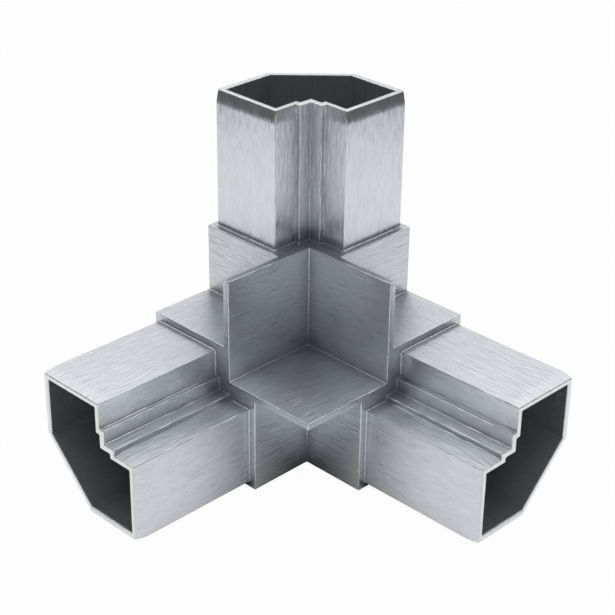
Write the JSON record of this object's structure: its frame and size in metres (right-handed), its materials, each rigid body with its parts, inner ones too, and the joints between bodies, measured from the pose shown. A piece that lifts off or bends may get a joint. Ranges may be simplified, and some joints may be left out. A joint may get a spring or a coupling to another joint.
{
  "type": "corner connector",
  "caption": "Cast aluminium corner of a box frame: hollow notched spigots at right angles on chamfered collars, for hollow profile, with square fins that back the panels.",
  "frame": {"origin": "the outer corner of the finished frame, where its outer faces would meet; the chamfers take the metal away there", "axes": "+X, +Y and +Z run along the arms, from the hub to the open end of each spigot; the part stands on its -Z face"},
  "size_m": [0.125, 0.125, 0.125],
  "materials": {
    "brushed_aluminium": "brushed along each arm, satin, with bare bright edges"
  },
  "bodies": {
    "root": {"corner_connector": "brushed_aluminium"}
  },
  "joints": []
}
